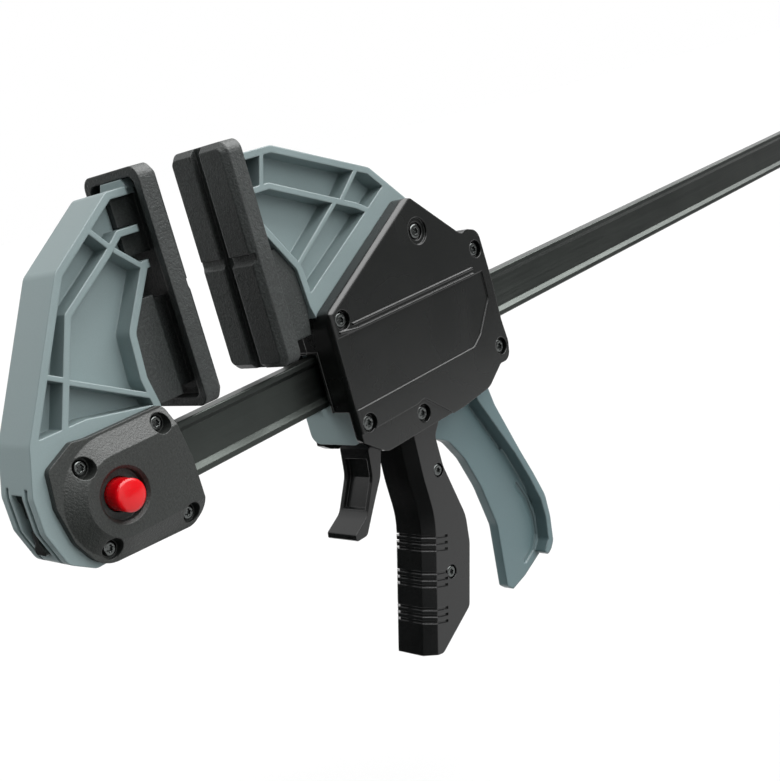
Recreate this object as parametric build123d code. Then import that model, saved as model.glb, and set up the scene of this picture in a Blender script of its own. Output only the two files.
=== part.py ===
from build123d import *
import math
import os

# One-handed bar clamp with an extra-large jaw. Millimetres, +X along the bar from the fixed jaw to the free
# end, +Z from the bar up to the pad tips, and the grip hangs down. The origin is on the bar's axis, in the
# plane of the fixed pad's gripping face, which is where the clamp's opening is measured from.

# ---- driving dimensions: the bar -------------------------------------------------------------------------
BAR_HEIGHT = 23.0
BAR_WIDTH = 7.0
BAR_EDGE = 2.4              # height of the flange's outer edge
BAR_RECESS = 2.0            # depth of the hollow in each side
BAR_ROUND = 0.7
BAR_START = -83.0
CAPACITY = 600.0
BAR_PAST_CARRIAGE = 35.0    # bar left behind the carriage at full opening
BAR_GAP = 0.25              # sliding clearance round the bar
FIT = 0.05                  # radial clearance of a pin in its hole
SEAT_GAP = 0.2              # between pieces that are pushed together

# ---- the pads --------------------------------------------------------------------------------------------
OPENING = 32.0              # between the pads, as the clamp is set here
PAD_BOTTOM = 16.0           # above the bar's axis
PAD_LENGTH = 92.5
PAD_WIDTH = 36.7
PAD_DEPTH = 9.3
PAD_CORNER = 5.0
PAD_EDGE = 2.5              # chamfer round the gripping face
PAD_WALL = 3.5
PAD_HOLLOW_ROUND = 3.5
PAD_SKIN = 4.6
GROOVE_WIDTH = 6.0
GROOVE_DEPTH = 3.2
CROSS_GROOVE = 2.8
CROSS_DEPTH = 1.6
TONGUE_WIDTH = 10.8
TONGUE_HEIGHT = 8.0         # of the lower one
TONGUE_REACH = 11.0
WING_WIDTH = 20.0
WING_LENGTH = 39.0
WING_GAP = 3.6              # from the pad's back to the wings

# ---- the jaws, moulded in glass-filled nylon -------------------------------------------------------------
JAW_WIDTH = 23.0
JAW_WEB = 5.0
FLANGE = 3.0
RIB = 2.6                   # the long rib under the flange
CROSS_RIB = 2.0
JAW_TOP = 102.0
INNER_RIB = 86.5            # height of the second rib at the pad
NOSE_BOTTOM = 71.5          # where the jaw leaves the pad
NOSE_WIDTH = 14.0           # of the top flange's middle band, which goes into the pad
NOSE_SIDES = -10.0          # where everything else stops
NOSE_BEVEL = 1.5
LAND = 9.0                  # height of the flat band on the moving jaw above the housing's slope
ROOT_COVER = 5.5            # from the housing's slope down to the root block's top
HUB_TOP = 29.0
HUB_BOTTOM = -21.5
HUB_BACK = -84.5
HUB_FRONT = -25.0
END_GROOVE = 2.0

# ---- the latch at the fixed jaw --------------------------------------------------------------------------
LATCH_X = -54.5
LATCH_HOLE = 4.5            # radius of the hole through the bar's web
LATCH_SLOT = 5.0            # width of the slot from the hole to the bar's end
BUTTON_RADIUS = 6.0
BUTTON_PROUD = 4.8
BUTTON_CROWN = 1.1          # height of its domed face
BUTTON_EDGE = 0.6
BUTTON_TRAVEL = 4.5
BUTTON_RIM = 8.4
BUTTON_WELL = 10.5
BUTTON_GAP = 0.3
WELL_DEPTH = 4.0
COVER_PLATE = 3.0
COVER_RISE = 4.0
COVER_RING = 15.0           # radius of the raised middle at its top
COVER_FOOT = 22.5           # and at its foot
COVER_TOP = 23.5
COVER_LEFT = -79.0
COVER_BOTTOM = -24.3
COVER_RIGHT = -23.2
COVER_SCREWS = ((-65.5, 14.6), (-31.0, 17.6), (-29.8, -18.4), (-64.8, -16.2))

# ---- the screws: one thread, two heads, and the round seats they are sunk in -----------------------------
SCREW_RADIUS = 2.0
HEAD_HEIGHT = 1.6
SMALL_HEAD = 2.9            # in the covers and the grip
LARGE_HEAD = 3.5            # in the housing
COVER_SEAT = 3.9
GRIP_SEAT = 3.3
HOUSING_SEAT = 4.2
SEAT_DEPTH = 1.7
HOUSING_SEAT_DEPTH = 2.6
BOSS_RADIUS = 4.8
GRIP_BOSS = 3.9

# ---- the carriage housing --------------------------------------------------------------------------------
HOUSING_WIDTH = 40.0
HOUSING_WALL = 2.5
HOUSING_FRONT = 60.0
HOUSING_BOTTOM = -37.0
HOUSING_SLOPE = 64.5        # height of the housing's peak
HOUSING_ROUND = 3.5         # of its front corners
HOUSING_BACK = 168.3
LUG_WIDTH = 31.0
LUG_BOTTOM = -30.0
LUG_ROUND = 5.0
ROOT_DEPTH = 10.0           # of the block that guides the bar, along the bar
SLOT_WIDTH = 12.0
SLOT_LOW = -14.0
SLOT_HIGH = 12.7
DISH_RADIUS = 6.2           # of the dish round the seat of the moving jaw's screw
DISH_DEPTH = 1.2
PANEL_DEPTH = 0.6
RIB_PROUD = 0.9             # of the two ribs above the panel
RIB_WIDTH = 1.0
STEP_DEPTH = 1.0
ROOT_SCREWS = ((67.0, 25.0), (66.6, -21.0))
JAW_SCREW = (125.7, 48.0)
BACK_SCREWS = ((162.0, 29.5), (163.5, -19.5))
GRIP_ROOT_SCREW = (101.0, -30.0)

# ---- grip, lever, trigger and what they work -------------------------------------------------------------
GRIP_WIDTH = 25.3
GRIP_CHAMFER = 5.0
GRIP_FRONT_WALL = 9.0
GRIP_LEAN = 21.0            # degrees
GRIP_RIB_GROUPS = (-89.5, -105.0, -120.5)
GRIP_RIB_PITCH = 2.8
GRIP_GROOVE = 1.3
GRIP_GROOVE_DEPTH = 0.8
GRIP_GROOVE_REACH = 13.0    # from the front edge onto the sides
GRIP_SCREWS = ((106.8, -60.6), (98.0, -108.2))
LEVER_WEB = 5.4
LEVER_WIDTH = 19.0
LEVER_PIVOT = (133.0, -29.0)
LEVER_HUB = 7.2
LEVER_PIN = 3.0
LEVER_SIDE_GAP = 0.4
LEVER_LINE = 3.0            # width of the groove down the lever's web
LINE_DEPTH = 1.0
LEVER_SEAM = 1.6            # width of the one along the palm's inner edge
PALM_END = -137.5
PALM_ROUND = 4.0
NOSE_HEIGHT = 12.0          # from the pivot up to the nose that pushes the drive plates
NOSE_RADIUS = 3.0
PLATE = 3.0                 # thickness of the hardened plates
PLATE_WIDTH = 24.0
PLATE_TOP = 17.0
PLATE_BOTTOM = -20.0
PLATE_GAP = 0.3             # round the bar
DRIVE_PLATE_GAP = 0.05      # between the two drive plates
TRIGGER_WIDTH = 18.0
TRIGGER_RIM = 2.0           # beside the hollow in its front
BRAKE_PIVOT = (81.0, 22.0)
BRAKE_TILT = 3.0            # degrees off square when the plate grips the bar
BRAKE_TANG = 10.0
BRAKE_BOTTOM = -33.0
BRAKE_SEAT = 3.2
SPRING_RIB = (95.0, 98.0)   # rib of the housing behind the trigger's spring
DRIVE_SPRING = 13.6         # mean radius, round the bar
SPRING_WIRE = 1.4

# ---- sizes that follow -----------------------------------------------------------------------------------
PAD_TOP = PAD_BOTTOM + PAD_LENGTH
PAD_MIDDLE = PAD_BOTTOM + PAD_LENGTH / 2
JAW_HALF = JAW_WIDTH / 2
NOSE_X = -PAD_SKIN - SEAT_GAP
BAR_END = HOUSING_BACK - OPENING + CAPACITY + BAR_PAST_CARRIAGE
END_HOLE_X = BAR_END - (LATCH_X - BAR_START)
BAR_TOP = BAR_HEIGHT / 2
BAR_SIDE = BAR_WIDTH / 2
WEB_HALF = BAR_SIDE - BAR_RECESS
COVER_BASE_Y = JAW_HALF + COVER_PLATE
COVER_FACE_Y = COVER_BASE_Y + COVER_RISE
SHELL_Y = HOUSING_WIDTH / 2
SHELL_IN = SHELL_Y - HOUSING_WALL
ROOT_FRONT = HOUSING_FRONT + HOUSING_WALL
ROOT_BACK = ROOT_FRONT + ROOT_DEPTH
LUG_HALF = LUG_WIDTH / 2
GRIP_HALF = GRIP_WIDTH / 2
GRIP_SLOT = LEVER_WEB / 2 + 0.5
NOSE_FACE = LEVER_PIVOT[0] + NOSE_RADIUS + 0.1


# ---- helpers ---------------------------------------------------------------------------------------------
def profile(*corners):
    """Flat face from corners (a, b) or (a, b, radius)."""
    face = make_face(Polyline(*[(c[0], c[1]) for c in corners], close=True)).face()
    for corner in corners:
        if len(corner) == 3:
            vertex = min(face.vertices(), key=lambda v: math.dist((v.X, v.Y), corner[:2]))
            face = face.fillet_2d(corner[2], [vertex])
    return Sketch() + face


def side_slab(face, y_low, y_high):
    """Extrude a face drawn in X and Z from y_low to y_high."""
    return extrude(Plane.XZ.offset(-y_high) * face, y_high - y_low)


def end_slab(face, x_low, x_high):
    """Extrude a face drawn in Y and Z from x_low to x_high."""
    return extrude(Plane.YZ.offset(x_low) * face, x_high - x_low)


def block(x, y, z):
    """Box between two x, two y and two z values."""
    size = (x[1] - x[0], y[1] - y[0], z[1] - z[0])
    return Pos((x[0] + x[1]) / 2, (y[0] + y[1]) / 2, (z[0] + z[1]) / 2) * Box(*size)


def cross_rod(place, radius, y_low, y_high):
    """Cylinder along Y through a place given as x and z."""
    return Pos(place[0], (y_low + y_high) / 2, place[1]) * Rot(90, 0, 0) * Cylinder(radius, y_high - y_low)


def strip(points, width):
    """Flat band of constant width along a polyline, drawn in X and Z."""
    return trace(Polyline(*points), width)


def coil(radius, length, turns, wire):
    """Compression spring along Z, from 0 to length."""
    rise = length - wire
    path = Helix(rise / turns, rise, radius)
    section = Plane(path @ 0, z_dir=path % 0) * RegularPolygon(wire / 2, 6)
    return Pos(0, 0, wire / 2) * sweep(section, path, is_frenet=True)


def save(part, node):
    """Write one named piece."""
    part.label = node
    export_step(part, f"parts/{node}.step")


# ---- bar -------------------------------------------------------------------------------------------------
def bar_section():
    """I section in Y and Z."""
    edge = BAR_TOP - BAR_EDGE
    quarter = [(BAR_SIDE, BAR_TOP, BAR_ROUND), (BAR_SIDE, edge), (WEB_HALF, edge - BAR_RECESS)]
    right = quarter + [(c[0], -c[1], *c[2:]) for c in reversed(quarter)]
    left = [(-c[0], -c[1], *c[2:]) for c in right]
    return profile(*right, *left)


def keyhole(x, end):
    """Hole through the web for the latch, and the slot that lets the latch's neck out at the bar's end."""
    slot = block(sorted((x, end)), (-BAR_WIDTH, BAR_WIDTH), (-LATCH_SLOT / 2, LATCH_SLOT / 2))
    return cross_rod((x, 0), LATCH_HOLE, -BAR_WIDTH, BAR_WIDTH) + slot


def make_bar():
    bar = end_slab(bar_section(), BAR_START, BAR_END)
    return bar - keyhole(LATCH_X, BAR_START - 1) - keyhole(END_HOLE_X, BAR_END + 1)


def bar_channel(x_low, x_high):
    """Rectangular way for the bar."""
    half = BAR_SIDE + BAR_GAP
    top = BAR_TOP + BAR_GAP
    return block((x_low, x_high), (-half, half), (-top, top))


# ---- shape shared by both jaws where they enter the pads -------------------------------------------------
def front_edge(x_of):
    """Corners down a jaw's front, from the pad to the hub. x_of places a distance from the pad's face."""
    return [(x_of(NOSE_X), JAW_TOP), (x_of(NOSE_X), NOSE_BOTTOM), (x_of(-12.5), NOSE_BOTTOM),
            (x_of(-25.8), 50.5, 5.0), (x_of(-27.0), 34.0, 5.0)]


def nose_area(x_of, depth):
    """Area between the nose's top and bottom flanges, as deep as given behind its open end."""
    front = x_of(NOSE_X + 1)
    back = x_of(NOSE_X - depth)
    low = NOSE_BOTTOM + FLANGE
    high = JAW_TOP - FLANGE
    return profile((front, low), (front, high), (back, high), (back, low))


def tongue_window(x_of, bands):
    """Opening in the web for the pad's tongues, between the flanges and the ribs."""
    window = nose_area(x_of, TONGUE_REACH + SEAT_GAP)
    for band in bands:
        window -= band
    half = TONGUE_WIDTH / 2 + SEAT_GAP
    return side_slab(window, -half, half)


def carve(jaw, x_of, outline, bands, land):
    """Cut the pockets of both sides: all that is inside the flange and under no rib or land."""
    hollow = offset(outline, -FLANGE, kind=Kind.INTERSECTION) - land + nose_area(x_of, FLANGE + 1)
    for band in bands:
        hollow -= band
    for low, high in ((-JAW_WIDTH, -JAW_WEB / 2), (JAW_WEB / 2, JAW_WIDTH)):
        jaw -= side_slab(hollow, low, high)
    return jaw


def shape_nose(jaw, x_of):
    """Leave only a band of the top flange to go into the pad, and add its lip behind the pad's top wall."""
    near = NOSE_WIDTH / 2
    stop = x_of(NOSE_SIDES)
    side = profile((x_of(1), near), (stop, near), (stop, JAW_HALF - NOSE_BEVEL),
                   (x_of(NOSE_SIDES - NOSE_BEVEL), JAW_HALF), (x_of(NOSE_SIDES - NOSE_BEVEL), JAW_WIDTH),
                   (x_of(1), JAW_WIDTH))
    corner = Pos(0, 0, NOSE_BOTTOM - 1) * extrude(side, JAW_TOP - NOSE_BOTTOM + 2)
    jaw -= corner
    jaw -= mirror(corner, Plane.XZ)
    jaw -= block(sorted((x_of(1), stop)), (-JAW_HALF, JAW_HALF), (NOSE_BOTTOM - 1, JAW_TOP - FLANGE))
    lip_top = PAD_TOP - PAD_WALL - SEAT_GAP
    lip = profile((-near - 2, JAW_TOP - 1), (near + 2, JAW_TOP - 1), (near, lip_top), (-near, lip_top))
    return jaw + end_slab(lip, *sorted((x_of(-PAD_DEPTH), x_of(NOSE_X))))


# ---- fixed jaw -------------------------------------------------------------------------------------------
def along(x):
    """Place of a point of the fixed pad on the fixed jaw, where nothing is turned round."""
    return x


def fixed_jaw_outline():
    return profile(*front_edge(along), (HUB_FRONT, 23.0), (HUB_FRONT, HUB_BOTTOM, 2),
                   (-70.5, HUB_BOTTOM, 4), (-80.0, -15.5, 5), (HUB_BACK, -2.0, 6), (HUB_BACK, 11.0, 5),
                   (-79.5, 28.0, 8), (-49.5, 80.5, 5), (-20.0, JAW_TOP, 4))


def fixed_jaw_ribs():
    """Second rib and the cross ribs."""
    inner = strip([(NOSE_X, INNER_RIB), (-20.0, INNER_RIB), (-27.5, 80.5), (-50.0, 65.0),
                   (-66.0, HUB_TOP - 3)], RIB)
    bands = [inner]
    for ends in ([(-33.5, 93.0), (-25.0, 82.5)], [(-24.0, 81.5), (-12.5, 71.0)],
                 [(-69.0, 50.0), (-58.0, 44.0)], [(-59.0, 44.0), (-27.5, 27.0)]):
        bands.append(strip(ends, CROSS_RIB))
    return bands


def make_fixed_jaw():
    outline = fixed_jaw_outline()
    bands = fixed_jaw_ribs()
    hub = profile((HUB_BACK - 5, HUB_BOTTOM - 5), (HUB_FRONT + 10, HUB_BOTTOM - 5), (HUB_FRONT + 10, 23.0),
                  (HUB_FRONT, 23.0), (-56.0, HUB_TOP), (HUB_BACK - 5, HUB_TOP))
    jaw = side_slab(outline, -JAW_HALF, JAW_HALF)
    jaw = carve(jaw, along, outline, bands, hub)
    jaw -= tongue_window(along, bands)
    jaw = shape_nose(jaw, along)
    jaw -= bar_channel(HUB_BACK - 3, HUB_FRONT + 3)
    rim = offset(outline, -END_GROOVE, kind=Kind.INTERSECTION)
    ring = outline - rim
    ring &= profile((HUB_BACK - 3, HUB_BOTTOM - 3), (-66.0, HUB_BOTTOM - 3), (-66.0, 14.0),
                    (HUB_BACK - 3, 14.0))
    for y in (-BAR_SIDE - 3.3, BAR_SIDE + 3.3):
        jaw -= side_slab(ring, y - END_GROOVE / 2, y + END_GROOVE / 2)
    bore_floor = JAW_HALF - BUTTON_GAP - BUTTON_TRAVEL - 1.5
    jaw -= cross_rod((LATCH_X, 0), BUTTON_RIM + BUTTON_GAP, -JAW_WIDTH, -bore_floor)
    jaw -= cross_rod((LATCH_X, 0), LATCH_SLOT / 2, -JAW_HALF, 0)
    jaw -= cross_rod((LATCH_X, 0), LATCH_HOLE + BUTTON_GAP, 0, JAW_HALF - 1.5)
    for place in COVER_SCREWS:
        jaw -= cross_rod(place, SCREW_RADIUS + FIT, -JAW_WIDTH, JAW_WIDTH)
    return jaw


# ---- pads ------------------------------------------------------------------------------------------------
def pad_grooves():
    """Vertical groove down the middle, and the cross groove with its lower lip sloped at 45 degrees."""
    upright = block((-GROOVE_DEPTH, 1), (-GROOVE_WIDTH / 2, GROOVE_WIDTH / 2), (PAD_BOTTOM - 1, PAD_TOP + 1))
    low = PAD_MIDDLE - CROSS_GROOVE / 2
    high = PAD_MIDDLE + CROSS_GROOVE / 2
    cross = profile((-CROSS_DEPTH, low), (-CROSS_DEPTH, high), (1, high), (1, low - CROSS_DEPTH - 1))
    return upright + side_slab(cross, -PAD_WIDTH, PAD_WIDTH)


def pad_tongues():
    """What holds the pad on its jaw: two tongues between the ribs and the wings before the front flange."""
    reach = NOSE_X - TONGUE_REACH
    half = TONGUE_WIDTH / 2
    rib_low = INNER_RIB - RIB / 2 - SEAT_GAP
    rib_high = INNER_RIB + RIB / 2 + SEAT_GAP
    top = JAW_TOP - FLANGE - SEAT_GAP
    bottom = rib_low - TONGUE_HEIGHT
    upper = block((reach, -PAD_SKIN), (-half, half), (rib_high, top))
    middle = block((reach, -PAD_SKIN), (-half, half), (bottom, rib_low))
    middle += block((NOSE_SIDES + SEAT_GAP, -PAD_SKIN), (-half, half), (bottom, top))
    low = PAD_BOTTOM + 6.5
    wing_front = -PAD_DEPTH - WING_GAP
    neck = block((wing_front - 1, -PAD_SKIN), (-half, half), (low + 2, low + WING_LENGTH - 2))
    wing = profile((wing_front, low), (wing_front, low + WING_LENGTH), (-40, low + WING_LENGTH), (-40, low))
    wing -= offset(fixed_jaw_outline(), SEAT_GAP, kind=Kind.INTERSECTION)
    wing = wing.faces().sort_by(Axis.X)[-1]
    return upper + middle + neck + side_slab(wing, -WING_WIDTH / 2, WING_WIDTH / 2)


def make_fixed_pad():
    half = PAD_WIDTH / 2
    face = profile((-half, PAD_BOTTOM, PAD_CORNER), (half, PAD_BOTTOM, PAD_CORNER),
                   (half, PAD_TOP, PAD_CORNER), (-half, PAD_TOP, PAD_CORNER))
    pad = end_slab(face, -PAD_DEPTH, 0)
    pad = chamfer(pad.faces().sort_by(Axis.X)[-1].edges(), PAD_EDGE)
    low, high = PAD_BOTTOM + PAD_WALL, PAD_TOP - PAD_WALL
    inner = half - PAD_WALL
    corners = ((-inner, low), (inner, low), (inner, high), (-inner, high))
    hollow = profile(*[(y, z, PAD_HOLLOW_ROUND) for y, z in corners])
    pad -= end_slab(hollow, -PAD_DEPTH - 1, -PAD_SKIN)
    return pad + pad_tongues() - pad_grooves()


def make_moving_pad():
    """The same pad, facing the other way across the opening."""
    return mirror(make_fixed_pad(), Plane.YZ.offset(OPENING / 2))


# ---- covers of the fixed jaw's hub -----------------------------------------------------------------------
def cover_outline():
    return profile((HUB_FRONT - 1.5, COVER_TOP, 3), (-60.0, COVER_TOP), (-66.0, COVER_TOP + 0.8, 2),
                   (COVER_LEFT + 1.5, 18.5, 3), (COVER_LEFT, 5.0), (COVER_LEFT + 2.5, -9.0, 8),
                   (-69.5, HUB_BOTTOM, 12), (COVER_RIGHT, COVER_BOTTOM, 8), (COVER_RIGHT, 1.0, 6))


def cover_rise():
    """Raised middle: a cone round the button that runs on as a sloped band to the hub's front."""
    cone = Cone(COVER_FOOT, COVER_RING, COVER_RISE)
    cone = Pos(LATCH_X, -COVER_BASE_Y - COVER_RISE / 2, 0) * Rot(90, 0, 0) * cone
    band = profile((-COVER_BASE_Y, -COVER_FOOT), (-COVER_BASE_Y, COVER_FOOT),
                   (-COVER_FACE_Y, COVER_RING), (-COVER_FACE_Y, -COVER_RING))
    return cone + end_slab(band, LATCH_X, HUB_FRONT + 10)


def cover_blank():
    """Plate and raised middle, on the near side."""
    plate = side_slab(cover_outline(), -COVER_BASE_Y, -JAW_HALF)
    return plate + (cover_rise() & side_slab(cover_outline(), -COVER_FACE_Y - 1, -JAW_HALF))


def make_cover_near():
    cover = cover_blank()
    centre = (LATCH_X, 0)
    well_floor = -COVER_FACE_Y + WELL_DEPTH
    cover -= cross_rod(centre, BUTTON_RADIUS + BUTTON_GAP, -HOUSING_WIDTH, 0)
    cover -= cross_rod(centre, BUTTON_WELL - 1.2, -HOUSING_WIDTH, well_floor)
    mouth = Pos(LATCH_X, -COVER_FACE_Y + 0.6, 0) * Rot(90, 0, 0) * Cone(BUTTON_WELL - 1.2, BUTTON_WELL, 1.2)
    cover -= mouth
    for place in COVER_SCREWS:
        cover -= cross_rod(place, SCREW_RADIUS + FIT, -HOUSING_WIDTH, 0)
        cover -= cross_rod(place, COVER_SEAT, -HOUSING_WIDTH, -COVER_BASE_Y + SEAT_DEPTH)
    return cover


def make_cover_far():
    cover = mirror(cover_blank(), Plane.XZ)
    for place in COVER_SCREWS:
        cover -= cross_rod(place, SCREW_RADIUS + FIT, 0, COVER_BASE_Y - 0.8)
    return cover


def screw(place, radius, seat, end):
    """Low-headed screw along Y, its head, of the given radius, on the near side."""
    head = cross_rod(place, radius, seat - HEAD_HEIGHT, seat)
    head = chamfer(head.edges().sort_by(Axis.Y)[0], HEAD_HEIGHT / 3)
    return head + cross_rod(place, SCREW_RADIUS, seat - 0.1, end)


def make_cover_screws():
    seat = -COVER_BASE_Y + SEAT_DEPTH
    return Compound([screw(place, SMALL_HEAD, seat, COVER_BASE_Y - 1) for place in COVER_SCREWS])


# ---- latch button ----------------------------------------------------------------------------------------
BUTTON_END = -JAW_HALF + BUTTON_GAP + 1.0
SPRING_TOP = -COVER_FACE_Y + 1.5


def make_button():
    """Domed button with a rim, and its plunger: a neck that clears the bar's slot, a wide end that locks."""
    lock_half = WEB_HALF + 0.5
    centre = (LATCH_X, 0)
    top = -COVER_FACE_Y - BUTTON_PROUD
    dome = (BUTTON_RADIUS ** 2 + BUTTON_CROWN ** 2) / (2 * BUTTON_CROWN)
    head = cross_rod(centre, BUTTON_RADIUS, top, BUTTON_END) & Pos(LATCH_X, top + dome, 0) * Sphere(dome)
    head = fillet(head.edges().filter_by(GeomType.CIRCLE).sort_by(Axis.Y)[0], BUTTON_EDGE)
    head += cross_rod(centre, BUTTON_RIM, BUTTON_END - 1.0, BUTTON_END)
    head -= cross_rod(centre, BUTTON_RADIUS - 1.4, SPRING_TOP, BUTTON_END + 1)
    neck = cross_rod(centre, LATCH_SLOT / 2 - BUTTON_GAP, SPRING_TOP - 1, -lock_half + 0.1)
    return head + neck + cross_rod(centre, LATCH_HOLE - FIT, -lock_half, lock_half)


def make_latch_spring():
    """In the button, round the plunger's neck, against the floor of the casting's bore."""
    floor = -(JAW_HALF - BUTTON_GAP - BUTTON_TRAVEL - 1.5)
    length = floor - SPRING_TOP - 0.4
    return Pos(LATCH_X, floor - 0.2, 0) * Rot(90, 0, 0) * coil(BUTTON_RADIUS - 2.6, length, 4, 1.0)


# ---- moving jaw ------------------------------------------------------------------------------------------
def across(x):
    """Place of a point of the fixed pad on the moving one."""
    return OPENING - x


def slope_line(x):
    """Height of the housing's sloped front edge."""
    start = 29.3
    return start + (x - HOUSING_FRONT) * (HOUSING_SLOPE - start) / (124.5 - HOUSING_FRONT)


def below_slope(rise):
    """Area below a line that runs beside the housing's slope, as far above it as given."""
    front = HOUSING_FRONT - 10
    back = HOUSING_BACK
    return profile((front, LUG_BOTTOM - 10), (front, slope_line(front) + rise),
                   (back, slope_line(back) + rise), (back, LUG_BOTTOM - 10))


def moving_jaw_outline():
    return profile(*front_edge(across), (ROOT_FRONT, 22.0), (ROOT_BACK, 22.0), (ROOT_BACK + 4, 33.0),
                   (134.0, 34.0), (142.0, 49.0, 3), (133.0, 62.5, 3), (114.5, 81.0, 6), (62.0, JAW_TOP, 5))


def moving_jaw_ribs():
    inner = strip([(across(NOSE_X), INNER_RIB), (55.5, INNER_RIB), (101.0, 67.0), (124.0, 53.0)], RIB)
    bands = [inner]
    for ends in ([(108.0, 83.0), (92.0, 70.5)], [(90.0, 72.0), (57.5, 51.0)], [(57.0, 101.5), (51.0, 86.0)]):
        bands.append(strip(ends, CROSS_RIB))
    return bands


def make_moving_jaw():
    """Ribbed jaw, and the root block that guides the bar and ends in the lug below it."""
    outline = moving_jaw_outline()
    bands = moving_jaw_ribs()
    jaw = side_slab(outline, -JAW_HALF, JAW_HALF)
    jaw = carve(jaw, across, outline, bands, below_slope(LAND))
    jaw -= tongue_window(across, bands)
    jaw = shape_nose(jaw, across)
    root = end_slab(profile((-LUG_HALF, LUG_BOTTOM, LUG_ROUND), (LUG_HALF, LUG_BOTTOM, LUG_ROUND),
                            (LUG_HALF, HUB_TOP), (-LUG_HALF, HUB_TOP)), ROOT_FRONT, ROOT_BACK)
    jaw += root & side_slab(below_slope(-ROOT_COVER), -LUG_WIDTH, LUG_WIDTH)
    jaw -= bar_channel(ROOT_FRONT - 1, ROOT_BACK + 1)
    for place in (*ROOT_SCREWS, JAW_SCREW):
        jaw -= cross_rod(place, SCREW_RADIUS + FIT, -HOUSING_WIDTH, HOUSING_WIDTH)
    return jaw


# ---- housing ---------------------------------------------------------------------------------------------
def housing_outline():
    return profile((HOUSING_FRONT, slope_line(HOUSING_FRONT), 5), (124.5, HOUSING_SLOPE, 5), (154.5, 38.6, 4),
                   (158.5, 40.2, 4), (167.0, 37.5, 6), (HOUSING_BACK, 14.0), (HOUSING_BACK, -8.0),
                   (169.6, -19.0, 6), (167.5, -27.5, 5), (160.0, -27.3, 3), (148.0, -35.0, 10),
                   (126.0, HOUSING_BOTTOM), (73.0, HOUSING_BOTTOM, 6), (HOUSING_FRONT, -27.5, 4))


def brake_seat():
    """Cross rib of the near shell with the groove that the brake plate's top edge rocks in."""
    x, z = BRAKE_PIVOT
    half = PLATE / 2 + 0.3
    seat = block((x - half - BRAKE_SEAT, x + half + BRAKE_SEAT), (-SHELL_IN - 1, -5), (z - 3, z + 5))
    seat -= cross_rod(BRAKE_PIVOT, half, -SHELL_Y, 0)
    return seat - block((x - half, x + half), (-SHELL_Y, 0), (z - 5, z))


def make_housing_near():
    outline = housing_outline()
    shell = side_slab(outline, -SHELL_Y, 0)
    behind = HOUSING_BACK + 5
    plan = profile((HOUSING_FRONT, -SHELL_Y, HOUSING_ROUND), (behind, -SHELL_Y), (behind, 0),
                   (HOUSING_FRONT, 0))
    shell &= Pos(0, 0, HOUSING_BOTTOM - 1) * extrude(plan, HOUSING_SLOPE - HOUSING_BOTTOM + 2)
    shell -= side_slab(offset(outline, -HOUSING_WALL, kind=Kind.INTERSECTION), -SHELL_IN, 1)
    inner_end = {**{p: LUG_HALF for p in ROOT_SCREWS}, JAW_SCREW: JAW_HALF, GRIP_ROOT_SCREW: GRIP_HALF,
                 **{p: 0 for p in BACK_SCREWS}}
    for place, end in inner_end.items():
        shell += cross_rod(place, BOSS_RADIUS, -SHELL_IN - 1, -end - SEAT_GAP if end else 0)
    shell += cross_rod(LEVER_PIVOT, LEVER_PIN + 3, -SHELL_IN - 1, -LEVER_WIDTH / 2 - LEVER_SIDE_GAP)
    shell -= cross_rod(LEVER_PIVOT, LEVER_PIN + FIT, -SHELL_IN, 0)
    shell += brake_seat()
    shell += block(SPRING_RIB, (-SHELL_IN - 1, 0), (-25.3, -15.5))
    rim = block((HOUSING_FRONT - 0.5, HOUSING_FRONT + 1), (-SLOT_WIDTH / 2 - 1, 0), (SLOT_LOW, SLOT_HIGH + 1))
    shell += rim
    shell -= block((HOUSING_FRONT - 5, ROOT_FRONT + 0.5), (-SLOT_WIDTH / 2, 1), (SLOT_LOW, SLOT_HIGH))
    shell -= block((HOUSING_BACK - 6, HOUSING_BACK + 3), (-BAR_SIDE - 1, 1), (-BAR_TOP - 1, BAR_TOP + 1))
    half = JAW_HALF + SEAT_GAP
    shell -= side_slab(offset(moving_jaw_outline(), SEAT_GAP, kind=Kind.INTERSECTION), -half, 1)
    below = HOUSING_BOTTOM - 1
    shell -= block((HOUSING_FRONT - 5, ROOT_BACK + 1), (-LUG_HALF - SEAT_GAP, 1), (below, SLOT_LOW))
    shell -= block((ROOT_BACK, 126.0), (-GRIP_HALF - SEAT_GAP, 1), (below, HOUSING_BOTTOM + 4))
    shell -= block((124.0, 164.5), (-LEVER_WIDTH / 2 - LEVER_SIDE_GAP, 1), (below, -24.0))
    for place in inner_end:
        shell -= cross_rod(place, SCREW_RADIUS + FIT, -HOUSING_WIDTH, 1)
    return shell


def shell_details(shell):
    """Sunk panel, the two ribs above it, the lower step, and the seats of the screws."""
    face = -SHELL_Y
    before = HOUSING_FRONT - 5
    panel = profile((before, -13.6), (144.5, -13.6, 4), (151.0, -9.5, 4), (163.0, 5.0, 4), (163.0, 18.4),
                    (before, 18.4))
    shell -= side_slab(panel, face - 1, face + PANEL_DEPTH)
    step = profile((before, HOUSING_BOTTOM - 3), (before, -24.5), (97.5, -24.5, 3), (102.5, -23.3, 3),
                   (119.0, HOUSING_BOTTOM), (119.0, HOUSING_BOTTOM - 3))
    shell -= side_slab(step, face - 1, face + STEP_DEPTH)
    for points in ([(71.5, 21.6), (156.0, 21.6)], [(63.0, 20.4), (74.5, 18.9), (156.0, 18.9)]):
        shell += side_slab(strip(points, RIB_WIDTH), face - RIB_PROUD, face + 0.5)
    shell -= cross_rod(JAW_SCREW, DISH_RADIUS, face - 1, face + DISH_DEPTH)
    for place in (*ROOT_SCREWS, JAW_SCREW, *BACK_SCREWS):
        shell -= cross_rod(place, HOUSING_SEAT, face - 1, face + HOUSING_SEAT_DEPTH)
    return shell - cross_rod(GRIP_ROOT_SCREW, HOUSING_SEAT, face - 1, face + STEP_DEPTH + HOUSING_SEAT_DEPTH)


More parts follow.
